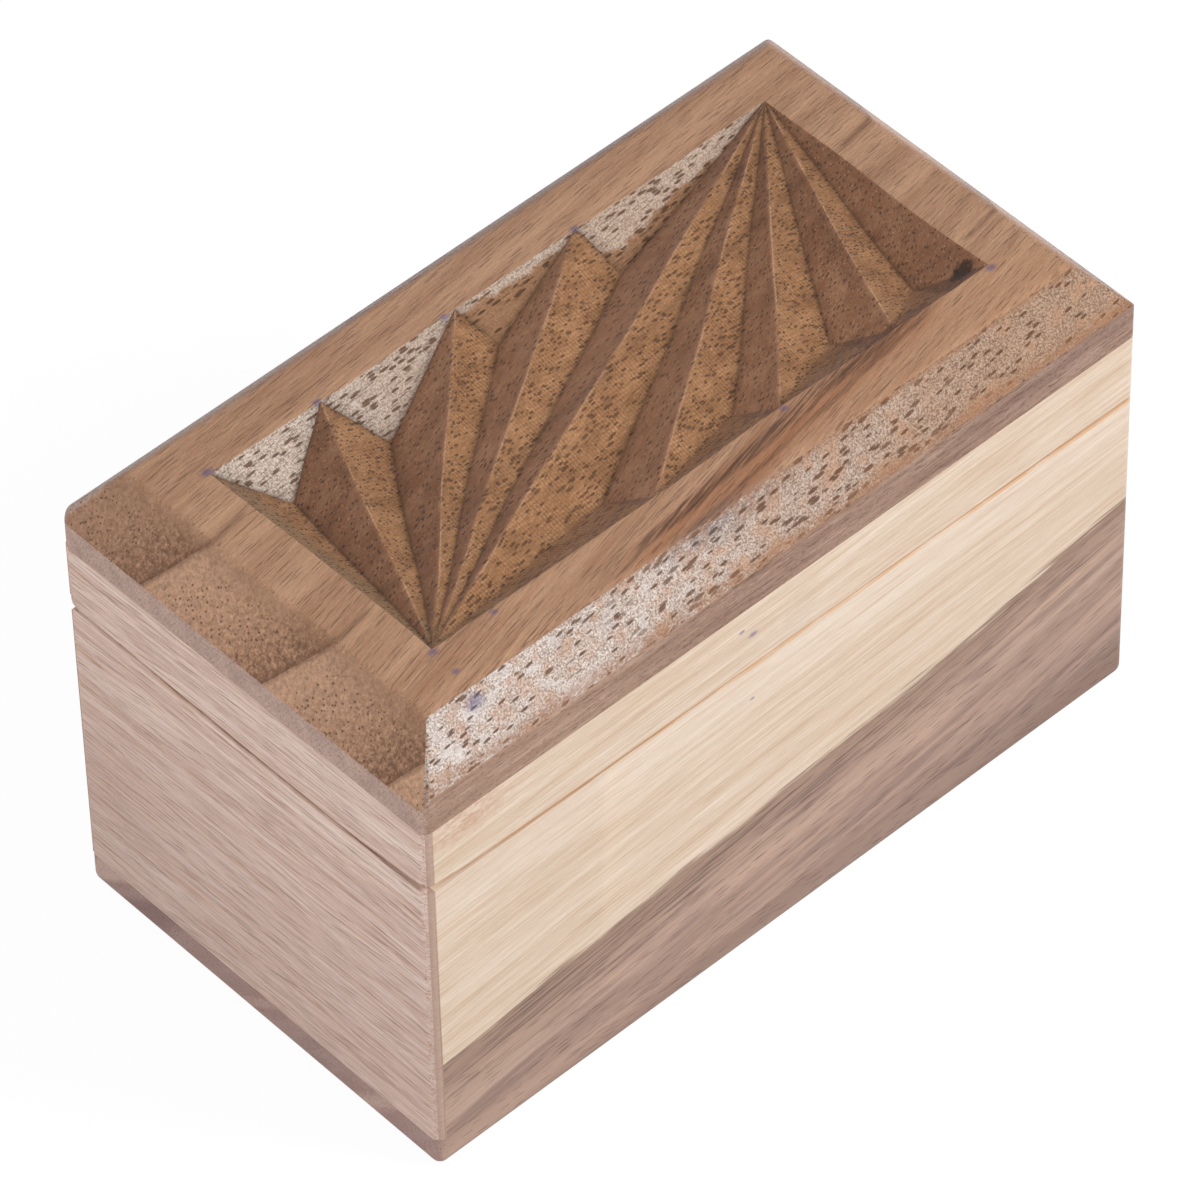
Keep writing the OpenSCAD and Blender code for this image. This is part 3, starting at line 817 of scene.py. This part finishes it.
# %% Base finish
def base_finish(name):
    wood = Finish(name)
    x, y, z = wood.x, wood.y, wood.z
    grain = Grain(wood, x, y * 0.62 + z * 0.78, z * 0.62 - y * 0.78, seed=3)
    rings = wood.cloud(x / 160, grain.across / 7, grain.deep / 60, 1)
    broad, fine, grit = grain.streaks(45, 2.4, 3), grain.streaks(10, 0.5, 4, 0.6), grain.grit(0.28)
    ends = bands(wood, rings * 0.85 + fine * 0.15, 0.36, 0.64,
                 (145, 115, 109), (172, 142, 134), (163, 132, 123), (201, 171, 158))
    long_side = (y.size() - 38.0).rise(-0.8, 0.2) * (x.size() - 69.3).rise(0.3, -0.3)
    pore = grain.pores(3.5, 0.3, 0.4) * 0.5
    colour = wood.layers(ends, (long_side, heart_brown(wood, z - x * 0.12 - 31, broad, fine)),
                         (pore, (96, 72, 64)))
    colour = wood.shade(colour, (fine - 0.5) * 0.15 + (grit - 0.5) * 0.2 + 1)
    return wood.finish(colour, 0.6 + pore * 0.15, fine * 0.3 + grit * 0.6 - pore, 0.07, Specular_IOR_Level=0.3)


finishes["base"] = base_finish("dark_wood")


# %% [markdown]
# ## The carved board, before the knife
#
# The lid's board is a coarse-pored brown timber. Its growth rings lean over and drift along the board, so the
# ring number of a point is its place across, less its depth, less a share of its place along. On the end and
# back bevels the wood is light just after a ring line and darkens slowly towards the next; on the rim the
# lines only leave clusters of fine dark threads. The thin edge is cut along the fibres, so it shows long
# streaks. The right and back bevels also carry a painted reflection: a pale grey that deepens downwards and
# stands for light glancing off bare wood. It is part of the colour and not of the light, so it shows from
# every side.

# %% Bare wood
RING = 26    # the distance between growth rings, in millimetres


def bare_wood(wood, grain, growth, line, marks):
    """The rim, the end bevels and the back bevel, before pores."""
    x, y, z = wood.x, wood.y, wood.z
    broad, fine, grit = marks
    colour = bands(wood, broad * 0.6 + fine * 0.4, 0.34, 0.66, (156, 116, 89), (176, 136, 108), (194, 153, 122))
    threads = grain.streaks(20, 0.4, 3, 0.6).rise(0.57, 0.68)
    cluster = line.rise(4, 0) * x.size().rise(40, 58) + 0.4
    front = y.rise(-22, -24)
    colour = wood.layers(
        colour,
        ((threads * cluster).least(1) * 0.55, (104, 72, 54)),
        (front * grain.streaks(24, 1.6, 3).rise(0.5, 0.62) * 0.3, (154, 106, 74)),
        (front * threads * 0.35, (84, 58, 44)),
        (front * x.rise(10, 50) * 0.35, (196, 152, 118)),
        (line.rise(0.9, 0.1) * x.size().rise(54, 57) * fine.rise(0.3, 0.5) * 0.55, (100, 70, 54)))

    mottle, speckled, rough = wood.lumps(0.9, 3, 0.7), wood.lumps(0.35, 3, 0.7), wood.lumps(0.75, 2, 0.6)
    (end_width, _), (long_width, _) = SLANT["end"], SLANT["long"]
    # The back bevel and the right bevel, which get a painted reflection lower down.
    behind = y.rise(31.6, 32.6) * ((x + CREASE[0]) / end_width + (y - CREASE[1]) / long_width).rise(-0.05, 0.05)
    painted_glancing_light = x.rise(62.6, 63.6).most(behind)
    end = wood.layers(
        bands(wood, growth + (mottle - 0.5) * 1.5 + (grit - 0.5) * 0.8, 0.0, 1.0,
              (134, 98, 76), (180, 138, 110), (193, 151, 122), (201, 159, 130)),
        (speckled.rise(0.5, 0.7) * mottle.rise(0.4, 0.6) * 0.5, (140, 100, 74)),
        (speckled.rise(0.46, 0.32) * 0.4, (222, 180, 150)),
        ((x.size().rise(66.2, 63.4) * mottle.rise(0.3, 0.6)) * 0.35, (136, 100, 78)),
        (y.rise(14, 34) * 0.4, (148, 110, 88)),
        (line.rise(1.1, 0) * (mottle * 0.7 + 0.1), (108, 74, 56)),
        # Painted reflection: pale grey on the right and back bevels, stronger lower down.
        (painted_glancing_light * z.rise(88.3, 83) * 0.36, (206, 192, 190)))
    end = wood.shade(end, (rough - 0.5) * 1.2 + y.near(2, 16) * 0.08 + 1)
    turned = x.size().rise(61.4, 65.2).most(y.size().rise(31.0, 33.2)) * (1 - wood.read("pale"))
    return wood.mix(turned, colour, end)


def thin_edge(wood, marks):
    """The thin upright edge of the board: long streaks, with end grain at both ends."""
    x, y, z = wood.x, wood.y, wood.z
    broad, fine, grit = marks
    level = Grain(wood, x, z - x * 0.012, y, seed=6)
    streaky = level.streaks(22, 1.6, 3) * 0.45 + level.streaks(7, 0.4, 3, 0.65) * 0.55
    return wood.layers(
        bands(wood, streaky, 0.32, 0.68, (122, 91, 73), (159, 127, 109), (191, 160, 141)),
        (level.pores(3.0, 0.4, 0.3) * 0.6, (88, 62, 50)),
        (x.rise(10, -50) * 0.3, (182, 148, 124)),
        ((x - 25).rise(0, 30) * z.rise(74.5, 79) * 0.3, (120, 92, 84)),
        (x.size().rise(69.0, 69.7), bands(wood, broad * 0.5 + grit * 0.5, 0.32, 0.68,
                                          (174, 143, 131), (193, 162, 148), (211, 179, 158))))


# %% [markdown]
# ## Facets left by the knife
#
# Each facet takes its tone from how the knife crossed the fibres. Cuts that face right are golden, and cuts
# that face left are red-brown. Cuts that face the back have the same two tones, made warmer and darker with
# painted shade. Cuts that face the front are pale where the surface is torn, and golden below.

# %% Cut and torn wood
def cut_wood(wood, colour, marks):
    """The facets that face right, left and back, over the bare wood."""
    x, y = wood.x, wood.y
    broad, fine, grit = marks
    gold, dusk, dim = (wood.read(k) for k in ("gold", "dusk", "dim"))
    cut = gold + dusk
    tone = broad * 0.2 + fine * 0.25 + grit * 0.2 + wood.cloud(x / 5, y / 3, wood.z / 5, 3) * 0.35
    golden = bands(wood, tone, 0.34, 0.66, (119, 83, 54), (153, 111, 77), (182, 138, 100))
    golden = wood.mix(x.rise(-50.3, -51.2), golden, (140, 108, 78))
    blotch = wood.cloud(x / 2.2, y / 1.2, wood.z / 1.2, 4, 0.7).rise(0.5, 0.68)
    ruddy = wood.layers(
        bands(wood, tone, 0.34, 0.66, (116, 81, 59), (153, 111, 84), (186, 142, 111)),
        (x.rise(-20, -42) * 0.3 + x.rise(36, 44) * 0.35, (114, 80, 61)),
        ((x - 2).near(0, 40) * 0.35, (180, 135, 104)),
        (blotch * 0.4, (150, 92, 66)))
    # The cuts that face the back get a warmer, darker brown and lose a fifth of their brightness: painted
    # shade.
    colour = wood.layers(colour, (gold, golden), (dusk, ruddy), (dim * gold * 0.1, (206, 142, 84)),
                         (dim * dusk * 0.4, (98, 58, 28)))
    colour = wood.shade(colour, 1 - dim * cut * 0.21)
    distance, chance = wood.cells(x / 0.55, y / 0.55, wood.z / 0.55)
    sparkle = distance.rise(0.34, 0.16) * chance.rise(0.72, 0.78)
    return wood.mix(sparkle * cut * 0.4, colour, (206, 166, 134))


def torn_wood(wood, colour, marks):
    """The pale facets: chalky where the fibres tore, golden below. Also gives how chalky each point is."""
    x, y, z = wood.x, wood.y, wood.z
    broad, fine, _ = marks
    pale, bevel = wood.read("pale"), wood.read("bevel")
    ragged = (wood.lumps(3.2, 4, 0.6) - 0.5) * 4.5
    limit = x.rise(-8.6, -9.4) * 9 + 1.1 + x.rise(16.5, 17.5) * 4.2
    limit = limit - x.rise(24, 32) * 2.0 - x.rise(42, 50) * 1.6
    torn = (wood.read("rim") + ragged - limit).rise(0.5, -0.5)
    speck = wood.lumps(0.3, 2, 0.6).rise(0.32, 0.68)
    browner = (x + (broad - 0.5) * 70 + (fine - 0.5) * 50).rise(-60, 50)
    chalk = wood.mix(browner, wood.mix(speck, (150, 128, 114), (231, 218, 210)),
                     wood.mix(speck, (130, 100, 81), (187, 157, 134)))
    patches = wood.mix(speck, (156, 135, 119), (216, 200, 187))
    patches = wood.mix(x.rise(-36, -20) * 0.2 + x.rise(8, 20) * 0.12, patches, (178, 140, 110))
    patches = wood.shade(patches, 1.04 - x.rise(-38, -28) * 0.09)
    lump = wood.cloud(x / 4, y / 4, z / 2.5, 3, 0.6)
    chalk = wood.layers(wood.mix(bevel, patches, chalk), (lump.rise(0.5, 0.64) * 0.42 * bevel, (184, 138, 106)),
                        (lump.rise(0.50, 0.36) * x.rise(10, -50) * 0.6 * bevel, (220, 211, 206)))
    chalky = pale * (bevel + (1 - bevel) * torn).least(1)
    below = wood.mix(speck * 0.5 + fine * 0.5, (124, 88, 62), (168, 128, 96))
    return wood.mix(chalky, wood.mix(pale, colour, below), chalk), chalky


# %% [markdown]
# ## The whole carved board
#
# The parts come together here, with what runs across all of them: a nearly black streak on the front rim that
# ends in a small knot, the open pores of each kind of cut, the knife's hatching across the golden cuts, painted
# shade in the valleys, a painted highlight along the crests, and the small blue marks of the layout.

# %% Carved finish
def carved_finish(name):
    wood = Finish(name)
    x, y, z = wood.x, wood.y, wood.z
    gold, dusk, pale, dim, bevel, edge, crest, valley = (
        wood.read(kind) for kind in ("gold", "dusk", "pale", "dim", "bevel", "edge", "crest", "valley"))
    cut = gold + dusk
    grain = Grain(wood, x + y * 0.15, y - x * (y.rise(20, -30) * 0.12 + 0.13), z, seed=4)
    ring = y - (LID_TOP - z) * 0.95 - (x + 62) * 0.18 + (wood.cloud(x / 45, y / 14, z / 14) - 0.5) * 1.8
    broad, fine = grain.streaks(50, 3, 3), grain.streaks(9, 0.36, 4, 0.65)
    thread, grit = grain.streaks(2.2, 0.15, 2), grain.grit(0.42)
    growth = ring.math("FRACT", (ring + 12.6 + 130) / RING)
    line = growth.least(1 - growth) * RING
    marks = broad, fine, grit
    colour = wood.mix(edge, bare_wood(wood, grain, growth, line, marks), thin_edge(wood, marks))
    colour, white = torn_wood(wood, cut_wood(wood, colour, marks), marks)

    ruled = y - x * 0.115 + 26.9 + (grain.streaks(14, 1.2) - 0.5) * 2.2
    here = x.rise(-32, -14) * x.rise(48, 38) * (1 - bevel) * (1 - edge)
    broken = grain.streaks(9, 0.5, 4, 0.65).rise(0.34, 0.62)
    inner = y.near(-24.4, 2.4) * x.near(29, 17) * broken * (1 - bevel) * (1 - cut) * (1 - edge)
    second = (y - x * 0.138 + 29.9 + (grain.streaks(12, 1) - 0.5) * 1.6).near(0, 0.7)

    small = grain.pores(1.7, 0.5, 0.5, 0.27) * (cut * 0.85)
    clear = growth.rise(0.08, 0.3) * growth.rise(0.98, 0.8) * z.rise(87, 84)
    dots = grain.pores(0.9, 0.55, 0.38, 0.25) * bevel * (1 - pale) * (clear * 0.7 + 0.1)
    dash = grain.pores(4.5, 0.23, 0.42, 0.3) * (1 - cut) * (1 - bevel) * 0.45
    crowded = bevel * x.rise(-50, -10) * x.rise(62, 20)
    torn = grain.pores(2.3, 0.62, 0.5, 0.29) * pale * (1 - bevel)
    large = grain.pores(3.5, 0.85, 0.42, 0.31) * crowded
    sparse = grain.pores(2.7, 0.62, 0.36, 0.29) * (pale + gold * 0.8)
    pore = small.most(dots).most(dash).most(torn).most(large).most(sparse).least(1)
    hatch = ((x + y * 0.2) * 9.5 + (fine - 0.5) * 9).wave() * 0.7
    hatch = hatch + ((y - x * 0.1) * 11 + (fine - 0.5) * 9).wave() * 0.5
    mark = hatch * gold * (wood.lumps(3.5).rise(0.35, 0.65) * 0.8 + 0.2)
    # Painted highlight: a pale line along the crests of the golden cuts, in patches.
    crest_highlight = crest.rise(0.45, 0.05) * gold * wood.lumps(6).rise(0.35, 0.6)
    # Painted shade: the cuts darken unevenly towards the valleys; the cuts that face the back get none of it.
    uneven = wood.lumps(2.5, 3) * 1.2 + 0.4
    hollow = 1 - (valley.rise(2.6, 0.0) * 0.18 + valley.rise(0.7, 0.0) * 0.22) * uneven * (1 - dim)
    knot = spot(wood, (51.2, -20.6, 87.0), 1.7, (1.2, 0.75, 2.0), 0.3)
    smudge = spot(wood, (-8, -32.4, 87.4), 4.5, (2.2, 0.35, 0.8), 0.8) * fine.rise(0.35, 0.6)
    ink = [((-54.2, -23.6, 88), 0.6), ((-54.4, -28.4, 88), 0.5), ((-55.2, -33.4, 86.4), 1.1),
           ((-34.0, 23.3, 88), 0.6), ((16.0, 23.3, 88), 0.6), ((13.1, -23.6, 88), 0.5),
           ((-43, -23.9, 88), 0.45), ((54, -24, 88), 0.6), ((-54.4, 23.8, 88), 0.7), ((-9.6, 23.2, 88), 0.5)]
    scar = ((z + (fine - 0.5) * 3).rise(82.2, 80.7) + z.rise(87.0, 87.7) * x.rise(-48, -10)).least(1)
    scar = bevel * pale * scar * fine.rise(0.3, 0.55)

    colour = wood.layers(
        colour,
        (line.rise(1.0, 0) * cut * fine.rise(0.3, 0.6) * 0.4, (92, 66, 52)),
        ((ruled + 1.6).near(0, 4.5) * here * 0.45, (160, 102, 66)),
        (ruled.near(0, 1.9).rise(0.0, 0.7) * here * broken * 0.8, (70, 48, 38)),
        (inner * 0.7, (88, 60, 46)),
        (second * here * 0.45, (92, 64, 48)),
        (pore * 0.85, wood.mix(white, (82, 56, 41), (98, 64, 42))),
        # The painted highlight on the crests.
        (crest_highlight * 0.45, (206, 164, 136)),
        (knot * 0.9, (50, 38, 34)),
        (smudge * 0.6, (86, 80, 84)),
        *specks(wood, ink, (1.3, 0.9, 1), 0.7, 0.6, (86, 80, 122)),
        (scar * 0.65, (150, 104, 72)))
    marked = (thread - 0.5) * 0.26 + (fine - 0.5) * 0.20 + (grit - 0.5) * 0.50 + mark * 0.27
    colour = wood.shade(colour, marked + 1)
    # Painted shade in the valleys.
    colour = wood.shade(colour, hollow)
    return wood.finish(colour, 0.52 + pore * 0.2 + white * 0.1,
                       fine * 0.4 + thread * 0.25 + grit * 1.4 + mark * 0.25 - pore * 1.5, 0.10,
                       Specular_IOR_Level=0.15, Sheen_Weight=0.12, Sheen_Roughness=0.35,
                       Sheen_Tint=(0.90, 0.88, 1.0, 1.0))


finishes["carved"] = carved_finish("carved_wood")


# %% [markdown]
# ## Brass and steel
#
# The hinge and the lock are hidden in the real box, so their metals are a guess: turned brass for the barrels
# and links, ground steel for the lock pins and the hinges' cross pins. Both metals have fine scratches, and
# both have gone dull in patches.

# %% Metals
def metal_finish(name, bright, dull, scratch):
    metal = Finish(name)
    x, y, z = metal.x, metal.y, metal.z
    lines = metal.cloud(x / scratch[0], y / scratch[1], z / scratch[2], 3)
    tarnish = metal.lumps(2, 3).rise(0.4, 0.75)
    colour = metal.mix(tarnish * 0.6, bright, dull)
    return metal.finish(colour, lines * 0.16 + tarnish * 0.15 + 0.2, lines, 0.012, Metallic=1.0)


finishes["brass"] = metal_finish("hinge_brass", (222, 180, 104), (150, 112, 60), (0.2, 3, 3))
finishes["steel"] = metal_finish("steel", (205, 207, 210), (150, 152, 156), (0.25, 3, 3))


def pairs(*names):
    """The left and the right piece of each name."""
    return [f"{side}_{name}" for name in names for side in ("left", "right")]


wearing = {"cream": ["front_wall", "back_wall", "lid_front_rail", "lid_back_rail"],
           "rose": ["lid_left_rail", "lid_right_rail", "middle_lock_block", *pairs("wall", "lock_block")],
           "base": ["base_board", *pairs("catch")], "carved": ["carved_top"],
           "brass": pairs("body_barrel", "lid_barrel", "hinge_link"),
           "steel": ["body_link_pins", "lid_link_pins", *pairs("lock_pin")]}
own = {o["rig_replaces"][0]: o for o in [*boards, base, carved_top]}
for kind, names in wearing.items():
    for part in names:
        for shown in {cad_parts[part], own.get(part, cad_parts[part])}:
            shown.data.materials.clear()
            shown.data.materials.append(finishes[kind])
print("finished pieces:", sum(len(v) for v in wearing.values()))

# %% [markdown]
# ## Light, floor and the last step
#
# Two soft square lamps and a pale world light the box: the key from the front right, where the carving's
# golden facets look, and a wide fill from the left. Together they are set so that a colour renders about as
# bright as it is written. The floor is plain grey to the lamps. To the camera and in reflections it glows
# nearly white instead, with just enough of a plain surface left to keep a faint shadow under the box. The sky
# does the same: white where it is seen, and dimmer where it only lights.

# %% Light and floor
def lamp(name, place, size, power, colour=(1.0, 1.0, 1.0)):
    """A soft square lamp at a place in metres, turned towards the middle of the box."""
    light = bpy.data.lights.new(name, "AREA")
    light.size, light.energy, light.color = size, power, colour
    made = bpy.data.objects.new(name, light)
    bpy.context.scene.collection.objects.link(made)
    towards = np.array([0, 0, 0.04]) - np.array(place)
    made.location = place
    made.rotation_euler = (math.atan2(math.hypot(*towards[:2]), -towards[2]), 0,
                           math.atan2(towards[1], towards[0]) - math.pi / 2)
    return made


lamp("key", (0.75, -1.0, 1.0), 0.5, 16.5)
lamp("fill", (-1.2, -0.4, 0.8), 0.9, 7.0, (0.98, 0.98, 1.0))


def seen_directly(graph):
    """1 for rays from the camera or from a reflection, 0 for rays that only gather light."""
    rays = graph.node("ShaderNodeLightPath")
    return rays[0].most(rays[3])


world = bpy.data.worlds.new("studio")
bpy.context.scene.world = world
sky = Graph(world)
dimmer, white = (sky.node("ShaderNodeBackground", {}, (1, 1, 1, 1), power)[0] for power in (0.42, 1.0))
sky.node("ShaderNodeOutputWorld", {}, sky.node("ShaderNodeMixShader", {}, seen_directly(sky), dimmer, white)[0])

side = 3.0
ground = bpy.data.meshes.new("floor")
ground.from_pydata([(-side, -side, 0), (side, -side, 0), (side, side, 0), (-side, side, 0)], [], [(0, 1, 2, 3)])
floor = bpy.data.objects.new("floor", ground)
bpy.context.scene.collection.objects.link(floor)
pale_floor = Finish("floor")
plain = pale_floor.node("ShaderNodeBsdfDiffuse", {}, (0.72, 0.72, 0.72, 1))[0]
faint = pale_floor.node("ShaderNodeBsdfDiffuse", {}, (0.08, 0.08, 0.083, 1))[0]
glow = pale_floor.node("ShaderNodeEmission", {}, (1, 1, 1, 1), 0.94)[0]
lifted = pale_floor.node("ShaderNodeAddShader", {}, faint, glow)[0]
shown = pale_floor.node("ShaderNodeMixShader", {}, seen_directly(pale_floor), plain, lifted)[0]
pale_floor.node("ShaderNodeOutputMaterial", {}, shown)
ground.materials.append(pale_floor.material)

bpy.context.scene.view_settings.view_transform = "Standard"
